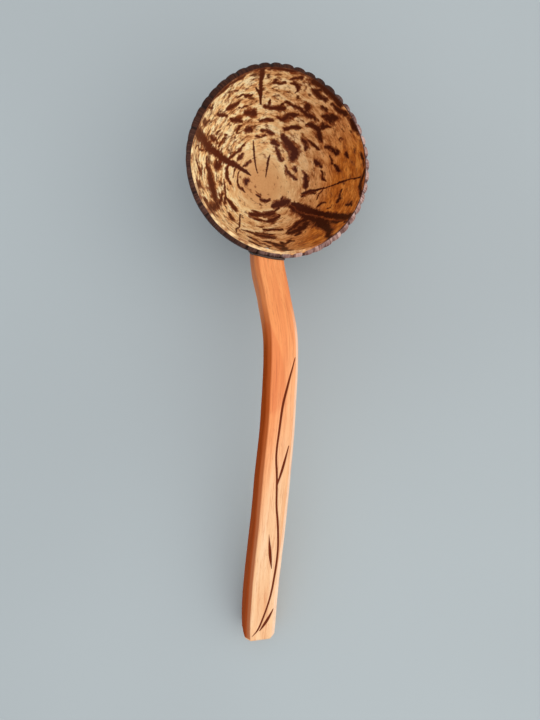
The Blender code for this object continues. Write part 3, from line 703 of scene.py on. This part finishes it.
def mark_shell(shell):
    """Stores what the shell's material needs: place on the shell, wall, marks, tone with painted
    shade, and rim with painted highlight.
    """
    local = mesh_points(shell)
    angle, climb, wall = shell_places(local)
    turn, lift = np.radians(angle), np.radians(climb)
    place = np.stack([np.sin(lift) * np.cos(turn), np.sin(lift) * np.sin(turn),
                      climb / 90.0 + 0.05 * wall], axis=-1)
    store(shell, "place", place)
    store(shell, "wall", wall)

    # The marks wander a few degrees, so that no border follows its stroke exactly
    wander = [soft_noise(place * (11.0, 11.0, 16.0) + shift, 3) for shift in (3.0, 17.0)]
    cover, depth = strongest(angle + 2.6 * wander[0], climb + 1.1 * wander[1], STAINS)
    store(shell, "stain", cover)
    store(shell, "depth", depth)
    seams = [(1.0, stroke) for stroke in SEAMS] + [(0.7, stroke) for stroke in CRACKS]
    cover, depth = strongest(angle + 0.6 * wander[1], climb, seams)
    store(shell, "seam", cover * np.sqrt(depth))

    # Painted shade: the wall that faces away from the window is painted browner, and the more so the
    # higher up; the middle of the bottom is browner too
    away = 0.5 + 0.5 * np.cos(turn - math.radians(338))
    store(shell, "tone_and_shade", np.clip(np.maximum(
        0.60 * (1.0 - smoothstep(9.0, 32.0, climb)),
        away ** 1.3 * (0.40 + 0.75 * smoothstep(14.0, 68.0, climb))), 0.0, 1.0))
    store(shell, "mottle", smoothstep(20.0, 40.0, climb)
          * (0.5 + 0.5 * np.cos(turn - math.radians(140))))
    store(shell, "drawn", smoothstep(5.0, 34.0, climb))

    # Rim: how near it is, its flat sawn face, where that face is painted paler, and where the filed
    # lobes are painted pale: their filed colour with a painted highlight on the side that faces the
    # window
    level = local[:, 2] / MM
    store(shell, "rim", smoothstep(-4.6, -2.6, level))
    store(shell, "sawn", smoothstep(-0.9, -0.2, level))
    store(shell, "pale_and_lit_face", np.maximum(0.70 * around(turn, 212.0, 40.0), around(turn, 252.0, 40.0)))
    store(shell, "filed_and_lit_lobes", np.maximum(around(turn, 332.0, 66.0, 20.0), 0.06 * around(turn, 215, 50)))
    store(shell, "notch", notch_depths(np.mod(turn, math.tau), np.random.default_rng(SEED)))


def shell_material():
    g = Graph("varnished_coconut")
    place, wall = g.place("place"), g.number("wall")
    stain, depth, seam, notch, tone_and_shade, mottle, drawn, rim, sawn, pale_and_lit_face, filed_and_lit_lobes = (
        g.number(name) for name in ("stain", "depth", "seam", "notch", "tone_and_shade", "mottle", "drawn",
                                    "rim", "sawn", "pale_and_lit_face", "filed_and_lit_lobes"))
    streaks = g.noise(place, (7.0, 7.0, 22.0), 4.0, 0.55, 0.25)
    threads = g.noise(place, (16.0, 16.0, 90.0), 2.0, 0.5, 0.1)
    grains = g.noise(place, (40.0, 40.0, 60.0), 3.0, 0.55)
    blots = g.noise(place, (10.0, 10.0, 24.0), 3.0, 0.60, 0.2)
    flecks = g.noise(place, (23.0, 23.0, 52.0), 2.0, 0.55, 0.1)
    fibres = g.noise(place, (70.0, 70.0, 3.0), 4.0, 0.6, 0.15)
    clouds = g.noise(place, (3.0, 3.0, 3.0), 3.0, 0.5)

    # Inner face: cream to tan ground, drawn out round the shell except near its middle
    tone = g.sway(0.52, streaks, drawn)
    tone = g.sway(g.sway(tone, threads, g.math('MULTIPLY', drawn, 0.40)), grains, 0.12)
    pale = g.ramp(tone, [(0.38, (255, 240, 192)), (0.50, (255, 224, 164)),
                         (0.62, (240, 188, 126)), (0.76, (180, 116, 68))])
    brown = g.ramp(tone, [(0.38, (222, 142, 62)), (0.50, (198, 114, 42)),
                          (0.62, (170, 88, 28)), (0.76, (120, 54, 14))])
    # Painted shade: the brown ground stands for the shade on the wall away from the window, and
    # gives the shell's tone near the middle of the bottom
    ground = g.mix(tone_and_shade, pale, brown)
    fine = g.math('MULTIPLY_ADD', mottle, 0.08, g.sway(flecks, grains, 0.22))
    fine = g.math('MULTIPLY', g.span(fine, 0.54, 0.74), drawn)
    ground = g.wash(ground, (156, 90, 46), fine, 0.35)
    coarse = g.math('MULTIPLY_ADD', mottle, 0.10, g.sway(blots, flecks, 0.36))
    ground = g.over(ground, (150, 84, 42), coarse, 0.55, 0.69, 0.75)
    ground = g.over(ground, (76, 28, 10), coarse, 0.64, 0.78, 0.90)

    # Dark patches and seams, with ragged borders; a fainter patch is more broken up
    ragged = g.sway(g.sway(g.sway(stain, streaks, 0.55), flecks, 0.70), grains, 0.42)
    ragged = g.math('MULTIPLY_ADD', g.math('SUBTRACT', depth, 1.0), 0.30, ragged)
    # Painted shade: the dark marks are painted darker still on the wall away from the window
    dark = g.mix(tone_and_shade, srgb(88, 38, 20), srgb(56, 15, 4))
    inner = g.over(ground, (132, 64, 30), ragged, 0.10, 0.44, 0.90)
    inner = g.mix(g.span(ragged, 0.36, 0.74), inner, dark)
    ragged_seam = g.sway(g.sway(g.sway(seam, blots, 0.35), flecks, 0.70), grains, 0.45)
    inner = g.over(inner, (118, 54, 26), ragged_seam, 0.14, 0.44, 0.85)
    inner = g.mix(g.span(ragged_seam, 0.36, 0.62), inner, dark)

    # Outer face and filed corner: dark, with fine fibres running from rim to bottom
    outer = g.ramp(fibres, [(0.30, (34, 15, 9)), (0.50, (58, 29, 18)), (0.66, (82, 46, 29))])
    outer = g.over(outer, (44, 21, 13), clouds, 0.4, 0.65, 0.5)
    # Painted highlight: pale pinkish filed lobes where the rim faces the window, partly the colour
    # of the filed shell
    filed = g.ramp(g.sway(fibres, blots, 1.2), [(0.30, (104, 70, 64)), (0.50, (150, 114, 106)),
                                                (0.70, (190, 156, 146))])
    bright = g.math('MULTIPLY', filed_and_lit_lobes, rim)
    outer = g.mix(g.math('MULTIPLY', bright, g.span(wall, 0.12, 0.24)), outer, filed)
    # Painted shade: the valleys of the notches are painted near black, less so among the painted
    # highlight of the lobes
    valley = g.mix(bright, srgb(20, 9, 6), srgb(66, 34, 30))
    outer = g.mix(g.span(notch, 0.35, 0.95, 0.0, 0.80), outer, valley)

    # The flat sawn face is painted paler on the left and lower left: the pale shell of the cut with
    # a painted highlight where it catches the window; the outer face starts a little way out
    pale_face = g.over(srgb(240, 204, 152), (128, 70, 38), streaks, 0.42, 0.60, 0.9)
    inner = g.mix(g.math('MULTIPLY', g.math('MULTIPLY', sawn, pale_and_lit_face), 0.60), inner, pale_face)
    edge = g.math('MULTIPLY_ADD', pale_and_lit_face, -0.42, g.sway(wall, threads, 0.06))
    edge = g.math('MULTIPLY_ADD', sawn, 0.12, edge)
    side = g.span(edge, 0.12, 0.18)
    colour = g.mix(side, inner, outer)

    rough = g.span(g.math('MULTIPLY_ADD', side, 0.5, grains), 0.3, 1.0, 0.34, 0.62)
    height = g.math('MULTIPLY_ADD', threads, 0.5, g.math('MULTIPLY', fibres, side))
    return g.surface(Base_Color=colour, Roughness=rough, Specular_IOR_Level=0.08,
                     Coat_Weight=0.02, Coat_Roughness=0.14,
                     Normal=g.bump(height, 0.10 * MM))


# ---------------------------------------------------------------- handle

HANDLE_LAST = 9.0               # station where the CAD handle ends, inside the shell
STRAIGHT_END = 6.6              # from here on rings bend towards the saddle
RINGS_BELOW, RINGS_ABOVE, END_RINGS = 640, 90, 7
STATION_SAMPLES = 360
END_SHARES = (0.25, 0.50, 0.72, 0.88)           # rings on the face of the free end
END_DOME = 0.25 * MM
SADDLE_SHARES = (0.96, 0.80, 0.60, 0.40, 0.20)  # rings on the face that fits the shell
CORNER = 0.45 * MM              # of the edges between facets, softened by sanding
WAVES = 0.20 * MM               # of the hand-carved surface
LINE_STEPS = 14                 # short straight steps from one point of a carved line to the next
# Facets of the section, from the left end of the top face round by the right: points on each
FACET_POINTS = (54, 5, 14, 4, 12, 4, 14, 5)


def handle_station(t):
    """Middle, side, up and along directions, then width, thickness and chamfer at station t."""
    last, step = len(HANDLE_STATIONS) - 1, 0.05
    row = catmull_rom(HANDLE_STATIONS, t)
    ahead = catmull_rom(HANDLE_STATIONS, min(t + step, last))
    behind = catmull_rom(HANDLE_STATIONS, max(t - step, 0.0))
    along = (Vector(ahead[:3]) - Vector(behind[:3])).normalized()
    side = along.cross(Vector((0.0, 0.0, 1.0))).normalized()
    side = Matrix.Rotation(HANDLE_ROLL, 3, along) @ side
    up = side.cross(along)
    middle = Vector(row[:3]) * MM
    width, thickness, chamfer = (value * MM for value in row[3:])
    return middle, side, up, along, width, thickness, chamfer


def section_points(width, thickness, chamfer):
    """(across, up) round the chamfered section, starting at the left end of the top face."""
    half_w, half_t = width / 2, thickness / 2
    corners = [(chamfer - half_w, half_t), (half_w - chamfer, half_t), (half_w, half_t - chamfer),
               (half_w, chamfer - half_t), (half_w - chamfer, -half_t),
               (chamfer - half_w, -half_t), (-half_w, chamfer - half_t),
               (-half_w, half_t - chamfer)]
    rows = []
    for i, count in enumerate(FACET_POINTS):
        a, b = np.array(corners[i]), np.array(corners[(i + 1) % 8])
        before, after = np.array(corners[i - 1]), np.array(corners[(i + 2) % 8])
        direction = (b - a) / np.linalg.norm(b - a)
        into = (a - before) / np.linalg.norm(a - before)
        start, end = a + direction * CORNER, b - direction * CORNER
        rounded = 0.5 * a + 0.25 * (start + a - into * CORNER)  # cuts half of the corner off
        steps = np.linspace(0.0, 1.0, count)[:, None]
        rows += [rounded[None, :], start + (end - start) * steps]
    return np.concatenate(rows)


class Handle:
    """Stations of the handle read once, and what is needed to place a point of its section."""

    def __init__(self):
        self.t = np.linspace(0.0, HANDLE_LAST, STATION_SAMPLES)
        stations = [handle_station(t) for t in self.t]
        self.middle, self.side, self.up, self.along = (
            np.array([s[k] for s in stations]) for k in range(4))
        self.size = np.array([s[4:] for s in stations])
        steps = np.linalg.norm(np.diff(self.middle, axis=0), axis=1)
        self.run = np.append(0.0, np.cumsum(steps))     # length along the middle line
        self.lines = [self.traced(line) for line in [VINE] + LEAVES]

    def read(self, rows, t):
        flat = np.ravel(t)
        out = np.stack([np.interp(flat, self.t, rows[:, k]) for k in range(rows.shape[1])], axis=-1)
        return out.reshape(*np.shape(t), rows.shape[1])

    def run_at(self, t):
        return np.interp(t, self.t, self.run)

    def points(self, t, section):
        """Points of a section, given as (across, up), at one station or each at its own."""
        return (self.read(self.middle, t) + self.read(self.side, t) * section[:, :1]
                + self.read(self.up, t) * section[:, 1:])

    def traced(self, line):
        """A carved line in short steps of (across, length, half width), in mm."""
        steps = LINE_STEPS * (len(line) - 1)
        rows = np.array([catmull_rom(line, k / LINE_STEPS) for k in range(steps + 1)])
        size = self.read(self.size, rows[:, 0]) / MM
        across = rows[:, 1] * (size[:, 0] / 2 - size[:, 2])
        return np.stack([across, self.run_at(rows[:, 0]) / MM, rows[:, 2]], axis=-1)


def saddle_side(points, gap):
    """Below 1 inside the outer skin of the shell swollen by gap, above 1 outside it."""
    local = (points - SHELL_CENTRE) @ SHELL_TURN
    radius = round_and_out(local)[1]
    low = SHELL_DEPTH + gap - WIDEST_LEVEL
    depth = np.minimum(local[:, 2] + WIDEST_LEVEL, 0.0)
    return (radius / (SHELL_RADIUS + gap)) ** 2 + (depth / low) ** 2


def saddle_station(handle, section, gap):
    """Station where each lengthwise line of the handle meets the swollen shell."""
    near = np.full(len(section), 6.5)
    far = np.full(len(section), HANDLE_LAST)
    for _ in range(HALVINGS):
        middle = (near + far) / 2
        outside = saddle_side(handle.points(middle, section), gap) > 1.0
        near, far = np.where(outside, middle, near), np.where(outside, far, middle)
    return near


def saddle_middle(handle, gap):
    """Station and point where the handle's middle line meets the swollen shell."""
    middle = np.zeros((1, 2))
    t = saddle_station(handle, middle, gap)
    return float(t[0]), handle.points(t, middle)[0]


def carving(run, across, lines):
    """Depth of the carved lines under the top face, in mm, at points across it."""
    depth = np.zeros(across.shape)
    reach = 3.0                     # no line is wider than this
    for line in lines:
        if not line[:, 1].min() - reach < run < line[:, 1].max() + reach:
            continue
        for (x0, y0, w0), (x1, y1, w1) in zip(line, line[1:]):
            dx, dy = x1 - x0, y1 - y0
            u = np.clip(((across - x0) * dx + (run - y0) * dy) / (dx * dx + dy * dy), 0.0, 1.0)
            away = np.hypot(across - x0 - u * dx, run - y0 - u * dy)
            half = np.maximum(w0 + (w1 - w0) * u, 0.05)
            depth = np.maximum(depth, half * np.clip(1.0 - away / half, 0.0, 1.0))
    return depth


# The knife left a shallow flat on the bend: (station, across) along the edge of that cut
FLAT_EDGE = [(5.15, .34), (5.45, .28), (5.70, .06), (5.95, -.28), (6.20, -.74), (6.45, -1.15)]


def knife_flat(t, across):
    """How far the cut on the bend lowers the top face, in mm."""
    edge = np.interp(t, *zip(*FLAT_EDGE))
    fade = smoothstep(4.95, 5.5, t) * (1.0 - smoothstep(6.30, 6.44, t))
    return 0.75 * np.clip(edge - across, 0.0, 1.2) * fade


def finished_section(handle, t):
    """The plain section at station t, the same with its cuts and waves, and the lines' depth."""
    width, thickness, chamfer = handle.read(handle.size, t)
    plain = section_points(width, thickness, chamfer)
    across, up = plain[:, 0], plain[:, 1]
    run = handle.run_at(t) / MM
    on_top = up > thickness / 2 - 0.6 * chamfer
    depth = np.where(on_top, carving(run, across / MM, handle.lines), 0.0)
    flat = np.where(up > 0, knife_flat(t, across / (width / 2 - chamfer)), 0.0)
    where = np.column_stack([plain / MM * 0.11, np.full(len(plain), run * 0.035)])
    outward = plain / np.linalg.norm(plain, axis=1)[:, None]
    finished = plain + outward * soft_noise(where, 2)[:, None] * WAVES
    finished[:, 1] -= (0.95 * depth + flat) * MM
    return plain, finished, depth


class HandleSkin(Skin):
    """The handle's mesh, with each point's station, depth of line and place in the section."""

    def __init__(self, handle):
        super().__init__(tip=handle.middle[0] - handle.along[0] * END_DOME)
        self.handle = handle
        self.stations, self.depths, self.places = [0.0], [0.0], [(0.0, 0.0)]

    def note(self, t, depth, places):
        self.stations.extend(np.broadcast_to(t, len(places)))
        self.depths.extend(np.broadcast_to(depth, len(places)))
        self.places.extend(map(tuple, places))

    def section(self, t, shape, plain, depth=0.0, forward=0.0):
        """Adds a ring with the given shape, whose places are read from the plain section."""
        self.ring(self.handle.points(t, shape) + self.handle.along[0] * forward)
        self.note(t, depth, plain)

    def add_free_end(self):
        """A nearly flat face with a rounded border."""
        width, thickness, chamfer = self.handle.size[0]
        for share in END_SHARES:
            shape = section_points(width, thickness, chamfer) * (
                share * (1.0 - 2 * END_ROUNDING / width))
            self.section(0.0, shape, shape, forward=-END_DOME * (1.0 - share ** 2))
        for k in range(END_RINGS):
            turn = math.pi / 2 * k / END_RINGS
            inset = END_ROUNDING * (1 - math.sin(turn))
            shape = section_points(width - 2 * inset, thickness - 2 * inset,
                                   max(chamfer - inset * 0.4, 0.8 * MM))
            self.section(0.0, shape, shape, forward=END_ROUNDING * (1 - math.cos(turn)))

    def add_length(self):
        """From the free end up to the bend over the joint."""
        handle = self.handle
        end = handle.run_at(STRAIGHT_END)
        for k in range(RINGS_BELOW + 1):
            run = END_ROUNDING + (end - END_ROUNDING) * k / RINGS_BELOW
            t = float(np.interp(run, handle.run, handle.t))
            plain, finished, depth = finished_section(handle, t)
            self.section(t, finished, plain, depth)

    def add_joint_end(self):
        """The last stretch: every lengthwise line ends on the saddle that fits the shell."""
        handle = self.handle
        size = handle.read(handle.size, STRAIGHT_END)
        share = section_points(*size) / (size[:2] / 2)
        ends = np.full(len(share), HANDLE_LAST)
        for _ in range(3):
            here = handle.read(handle.size, ends)
            ends = saddle_station(handle, share * here[:, :2] / 2, SADDLE_GAP)
        for k in range(1, RINGS_ABOVE + 1):
            t = STRAIGHT_END + (ends - STRAIGHT_END) * k / RINGS_ABOVE
            plain, finished, depth = finished_section(handle, float(t.mean()))
            self.section(t, finished, plain, depth)
        for share in SADDLE_SHARES:
            shape = finished * share
            self.section(saddle_station(handle, shape, SADDLE_GAP), shape, plain * share)
        t, point = saddle_middle(handle, SADDLE_GAP)
        self.tip(point)
        self.note(t, 0.0, [(0.0, 0.0)])


def mark_handle(obj, skin):
    """Stores what the wood's material needs: grain, painted shade on its left side, painted
    highlight on its right side, the shaved flat and lines.
    """
    handle, t, places = skin.handle, np.array(skin.stations), np.array(skin.places)
    across, up = places[:, 0], places[:, 1]
    size = handle.read(handle.size, t)
    run = handle.run_at(t) / MM
    flat_half = size[:, 0] / 2 - size[:, 2]
    beyond = (np.abs(across) - flat_half) / MM          # past the edge of the top face
    lit = 1.0 - 0.50 * smoothstep(5.6, 7.0, t)          # the bend turns the side to the window
    store(obj, "grain", np.column_stack([places / MM, run]))
    # Painted shade: the left side and chamfer, which face away from the window, are painted dark
    store(obj, "left", (across < 0) * smoothstep(0.5, 3.5, run) * lit * (
        0.80 * smoothstep(-0.25, 0.25, beyond) + 0.20 * smoothstep(1.2, 2.0, beyond)))
    # Painted highlight: the right side and chamfer, which face the window, are painted pale, but not
    # on the bend
    store(obj, "right", (across > 0) * smoothstep(-0.30, 0.05, up / size[:, 1])
          * smoothstep(-0.1, 0.5, beyond) * (1.0 - smoothstep(6.0, 6.8, t)))
    store(obj, "shaved", np.clip(knife_flat(t, across / flat_half) / 0.12, 0.0, 1.0) * (up > 0))
    store(obj, "carved", np.clip(np.array(skin.depths) / 0.45, 0.0, 1.0))


def build_handle(handle):
    skin = HandleSkin(handle)
    skin.add_free_end()
    skin.add_length()
    skin.add_joint_end()
    obj = skin.build("ladle_handle")
    mark_handle(obj, skin)
    points = mesh_points(obj)
    points[:, 2] = np.maximum(points[:, 2], 0.0)        # worn where the end lies on the table
    set_points(obj, points + np.array(FRAME_SHIFT))
    obj.data.materials.append(wood_material(handle.run_at(skin.stations[-1]) / MM))
    return obj


def wood_material(length):
    g = Graph("oiled_handle_wood")
    grain, carved, left, right, shaved = (g.place("grain"), g.number("carved"), g.number("left"),
                                          g.number("right"), g.number("shaved"))
    across, along = (g.node("ShaderNodeSeparateXYZ", {0: grain}, k) for k in (0, 2))
    bands = g.noise(grain, (0.20, 0.26, 0.012), 3.0, 0.55, 0.4)
    fibres = g.noise(grain, (1.9, 1.9, 0.055), 4.0, 0.65, 0.2)
    pores = g.noise(grain, (3.4, 3.4, 0.20), 2.0, 0.5)

    # Painted shade: the wood is painted darker and more orange towards the bowl, for the bowl's
    # shadow and the stretch that slopes away from the window
    near_bowl = g.ramp(bands, [(0.30, (222, 126, 68)), (0.52, (236, 144, 80)),
                               (0.72, (244, 162, 96))])
    near_end = g.ramp(bands, [(0.30, (228, 166, 114)), (0.52, (238, 188, 140)),
                              (0.72, (244, 204, 162))])
    # The change from one to the other runs slantwise, further down on the left
    slanted = g.math('MULTIPLY_ADD', across, -4.0, along)
    colour = g.mix(g.span(slanted, 0.34 * length, 0.80 * length), near_end, near_bowl)
    # Painted shade: the shaved flat on the bend, which faces away from the window, is painted redder
    # and darker
    colour = g.wash(colour, (216, 106, 50), shaved, 0.40)
    # Painted shade on the left side and chamfer
    colour = g.wash(colour, (148, 56, 12), left, 0.96)
    # Painted highlight on the right side and chamfer
    colour = g.wash(colour, (252, 216, 186), right, 0.60)
    colour = g.over(colour, (190, 96, 48), fibres, 0.48, 0.70, 0.55)
    colour = g.over(colour, (150, 74, 38), pores, 0.60, 0.74, 0.40)
    colour = g.over(colour, (116, 48, 24), carved, 0.10, 0.55)

    height = g.math('ADD', g.math('MULTIPLY', fibres, -1.0), g.math('MULTIPLY', pores, -0.6))
    return g.surface(Base_Color=colour, Roughness=g.span(fibres, 0.3, 0.7, 0.42, 0.54),
                     Specular_IOR_Level=g.span(g.math('MAXIMUM', left, carved), 0.0, 0.8, 0.30, 0.0),
                     Coat_Weight=g.span(left, 0.0, 0.8, 0.08, 0.0), Coat_Roughness=0.25,
                     Normal=g.bump(height, 0.05 * MM))


# ---------------------------------------------------------------- joint

TURNED_SIDES = 48
# The dome ends just over the origin of the screw's frame, and the head's underside is just below
HEAD_EDGE, HEAD_UNDERSIDE = 0.05 * MM, 0.12 * MM
SLOT_WIDTH, SLOT_DEPTH = 0.7 * MM, 0.7 * MM
THREAD_PITCH = 1.2 * MM
THREAD_HEIGHT = 0.28 * MM
THREAD_START, THREAD_FULL = 2.0 * MM, 3.0 * MM
STEM_ROWS = 150
GLUE_STATION = 7.9              # the bed has the handle's outline at this station
GLUE_UNDER, GLUE_OVER = 0.28, 1.12      # faces of the bed, in mm over the shell
BEAD = 0.75 * MM


def screw_place(height):
    """Where a screw goes: its head is seated at the origin and its point is along +Z."""
    direction = Euler((0.0, 0.0, SCREW_TURN)).to_matrix() @ Vector(
        (0.0, -math.cos(SCREW_RISE), math.sin(SCREW_RISE)))
    low = SHELL_DEPTH - WALL_AT_BOTTOM - WIDEST_LEVEL
    drop = (RIM_CENTRE.z - WIDEST_LEVEL - height) / low
    inner_radius = (SHELL_RADIUS - WALL_AT_RIM) * ALONG * math.sqrt(1.0 - drop ** 2)
    reach = math.sqrt(inner_radius ** 2 - (SCREW_SIDE - RIM_CENTRE.x) ** 2)
    seat = Vector((SCREW_SIDE, RIM_CENTRE.y - reach - SEAT_DEPTH, height))
    turn = Vector((0.0, 0.0, 1.0)).rotation_difference(direction).to_matrix().to_4x4()
    return Matrix.Translation(seat) @ turn


def turned(name, profile):
    """A closed shape turned round +Z from (radius, z) points; both ends close on the axis."""
    angles = ring_angles(TURNED_SIDES)
    skin = Skin(tip=(0.0, 0.0, profile[0][1]))
    for radius, z in profile:
        skin.ring(np.stack([radius * np.cos(angles), radius * np.sin(angles),
                            np.full(TURNED_SIDES, z)], axis=-1))
    skin.tip((0.0, 0.0, profile[-1][1]))
    return skin.build(name)


def screw_profile():
    """From the top of the dome over the rounded edge of the head and down the plain stem."""
    dome = [(SCREW_HEAD * math.cos(a), -SCREW_HEAD_HEIGHT * math.sin(a))
            for a in np.radians((*range(86, 13, -8), 7))]
    edge = [(SCREW_HEAD, -HEAD_EDGE), (SCREW_HEAD * 0.985, 0.06 * MM),
            (SCREW_HEAD * 0.94, 0.10 * MM), (SCREW_SHANK, HEAD_UNDERSIDE)]
    stem = [(SCREW_SHANK, HEAD_UNDERSIDE + (SCREW_LENGTH - HEAD_UNDERSIDE) * k / STEM_ROWS)
            for k in range(1, STEM_ROWS + 1)]
    return dome + edge + stem


def cut_thread(points):
    """Draws the stem's points in to a winding thread and a point."""
    z = points[:, 2]
    radius = np.hypot(points[:, 0], points[:, 1])
    turn = np.mod(np.arctan2(points[:, 1], points[:, 0]) / math.tau - z / THREAD_PITCH, 1.0)
    crest = np.clip(1.0 - np.abs(turn - 0.5) * 3.2, 0.0, 1.0)
    threaded = smoothstep(THREAD_START, THREAD_FULL, z)
    taper = np.clip((SCREW_LENGTH - z) / SCREW_POINT, 0.05, 1.0)
    wanted = (SCREW_SHANK + (crest - 1.0) * THREAD_HEIGHT * threaded) * taper
    on_stem = (z > HEAD_UNDERSIDE + 0.01 * MM) & (radius > 0.0)
    scale = np.where(on_stem, wanted / np.maximum(radius, 1e-9), 1.0)
    points[:, :2] *= scale[:, None]
    return points


def slot_cutter(name):
    bm = bmesh.new()
    bmesh.ops.create_cube(bm, size=1.0)
    mesh = bpy.data.meshes.new(name)
    bm.to_mesh(mesh)
    bm.free()
    mesh.transform(Matrix.Translation((0.0, 0.0, -SCREW_HEAD_HEIGHT))
                   @ Matrix.Diagonal((SCREW_HEAD * 3, SLOT_WIDTH, SLOT_DEPTH * 2, 1.0)))
    return add_object(name, mesh)


def build_screw(node, height, material):
    """A round-head wood screw: slotted dome, rounded rim under it, and a tapering thread."""
    screw = turned("ladle_" + node, screw_profile())
    set_points(screw, cut_thread(mesh_points(screw)))
    cut(screw, [slot_cutter(node + "_slot")])
    screw.data.shade_smooth()
    screw.data.set_sharp_from_angle(angle=math.radians(35))
    screw.data.transform(Matrix.Translation(FRAME_SHIFT) @ screw_place(height))
    screw.data.materials.append(material)
    return screw


def steel_material():
    g = Graph("screw_steel_brushed")
    place = g.node("ShaderNodeTexCoord", {}, "Object")
    scuffs = g.noise(place, (900.0, 2600.0, 2600.0), 3.0, 0.6)
    spots = g.noise(place, (1200.0, 1200.0, 1200.0), 2.0, 0.5)
    colour = g.ramp(spots, [(0.35, (196, 190, 180)), (0.70, (222, 218, 208))])
    return g.surface(Base_Color=colour, Metallic=1.0, Roughness=g.span(scuffs, .3, .7, .20, .38),
                     Normal=g.bump(scuffs, 0.02 * MM))


def build_glue(handle):
    """A thin bed between shell and handle whose border swells out into a small uneven bead."""
    section = section_points(*handle.read(handle.size, GLUE_STATION))[::2]
    angle = np.arctan2(section[:, 1], section[:, 0])
    outward = section / np.linalg.norm(section, axis=1)[:, None]
    swell = 1.0 + 0.35 * soft_noise(np.stack([np.cos(angle) * 2.2, np.sin(angle) * 2.2,
                                              np.full(angle.shape, 5.0)], axis=-1), 3)
    skin = Skin(tip=saddle_middle(handle, GLUE_UNDER * MM)[1])
    # Share of the section, height over the shell in mm, and how far the bead is out, 0 to 1
    rows = [(0.3, GLUE_UNDER, 0), (0.6, GLUE_UNDER, 0), (0.9, .26, 0), (1.0, .16, 0),
            (1.0, .06, .55), (1.0, .20, .85), (1.0, .50, 1.0), (1.0, .85, .85), (1.0, 1.08, .50),
            (1.0, 1.14, 0), (0.9, GLUE_OVER, 0), (0.6, GLUE_OVER, 0), (0.3, GLUE_OVER, 0)]
    for share, height, bead in rows:
        flat = section * share + outward * (bead * BEAD * swell)[:, None]
        skin.ring(handle.points(saddle_station(handle, flat, height * MM), flat))
    skin.tip(saddle_middle(handle, GLUE_OVER * MM)[1])
    glue = skin.build("ladle_glue")
    glue.data.transform(Matrix.Translation(FRAME_SHIFT))
    glue.data.materials.append(glue_material())
    return glue


def glue_material():
    g = Graph("dark_adhesive_and_rim_shade")
    place = g.node("ShaderNodeTexCoord", {}, "Object")
    lumps = g.noise(place, (700.0, 700.0, 700.0), 3.0, 0.55)
    # Dark adhesive; its bead at the joint also stands for the shade the rim casts on the handle's
    # top: partly painted shade
    colour = g.ramp(lumps, [(0.30, (34, 20, 14)), (0.70, (74, 46, 30))])
    return g.surface(Base_Color=colour, Roughness=g.span(lumps, 0.3, 0.7, 0.30, 0.55),
                     Normal=g.bump(lumps, 0.15 * MM))


# ---------------------------------------------------------------- stage

FLOOR_RADII, FLOOR_SIDES = (0.5, 2.0, 12.0), 96
SKY_COLOUR, SKY_STRENGTH = (0.92, 0.96, 1.0, 1.0), 0.95
# The window is a large soft lamp: its direction from the ladle, then metres and watts
WINDOW_AZIMUTH, WINDOW_ELEVATION = math.radians(-14.0), math.radians(38.0)
WINDOW_DISTANCE, WINDOW_SIZE, WINDOW_POWER = 2.0, 3.4, 32.0
WINDOW_COLOUR = (1.0, 0.95, 0.87)
CAMERA_PLACE = Vector((-6.4, -108.0, 350.0)) * MM       # it looks straight down
CAMERA_LENS, CAMERA_SENSOR = 27.5, 36.0


def build_floor():
    angle = ring_angles(FLOOR_SIDES)
    skin = Skin(tip=(0.0, 0.0, 0.0))
    for radius in FLOOR_RADII:
        skin.ring(np.stack([radius * np.cos(angle), radius * np.sin(angle), 0.0 * angle], axis=-1))
    floor = skin.build("floor")
    g = Graph("pale_table")
    haze = g.noise(g.node("ShaderNodeTexCoord", {}, "Object"), (2.5, 2.5, 2.5), 2.0, 0.5)
    colour = g.ramp(haze, [(0.35, (165, 171, 173)), (0.65, (171, 178, 180))])
    floor.data.materials.append(g.surface(Base_Color=colour, Roughness=0.90))
    return floor


def add_window():
    light = bpy.data.lights.new("window", 'AREA')
    light.shape, light.size = 'SQUARE', WINDOW_SIZE
    light.energy, light.color = WINDOW_POWER, WINDOW_COLOUR
    window = add_object("window", light)
    flat = math.cos(WINDOW_ELEVATION)
    way = Vector((flat * math.cos(WINDOW_AZIMUTH), flat * math.sin(WINDOW_AZIMUTH),
                  math.sin(WINDOW_ELEVATION)))
    window.location = way * WINDOW_DISTANCE
    window.rotation_euler = way.to_track_quat('Z', 'Y').to_euler()


def build_stage():
    build_floor()
    add_window()
    world = bpy.data.worlds.new("soft_room")
    world.use_nodes = True
    background = world.node_tree.nodes["Background"]
    background.inputs["Color"].default_value = SKY_COLOUR
    background.inputs["Strength"].default_value = SKY_STRENGTH
    bpy.context.scene.world = world
    bpy.context.scene.view_settings.view_transform = 'Standard'

    camera = add_object("camera", bpy.data.cameras.new("camera"))
    camera.data.sensor_fit = 'VERTICAL'
    camera.data.sensor_height = CAMERA_SENSOR
    camera.data.lens = CAMERA_LENS
    camera.data.clip_start = 0.01
    camera.location = CAMERA_PLACE + FRAME_SHIFT
    bpy.context.scene.camera = camera


# ---------------------------------------------------------------- assembly

handle_line = Handle()
steel = steel_material()
pieces = [(build_shell(), "shell_bowl", "coconut_shell"),
          (build_handle(handle_line), "handle", "handle_wood"),
          (build_glue(handle_line), "glue_bed", "dark_adhesive")]
for node, height in SCREW_HEIGHTS.items():
    pieces.append((build_screw(node, height, steel), node, "screw_steel"))
for piece, node, slot in pieces:
    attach(piece, "root")
    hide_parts(node)
build_stage()
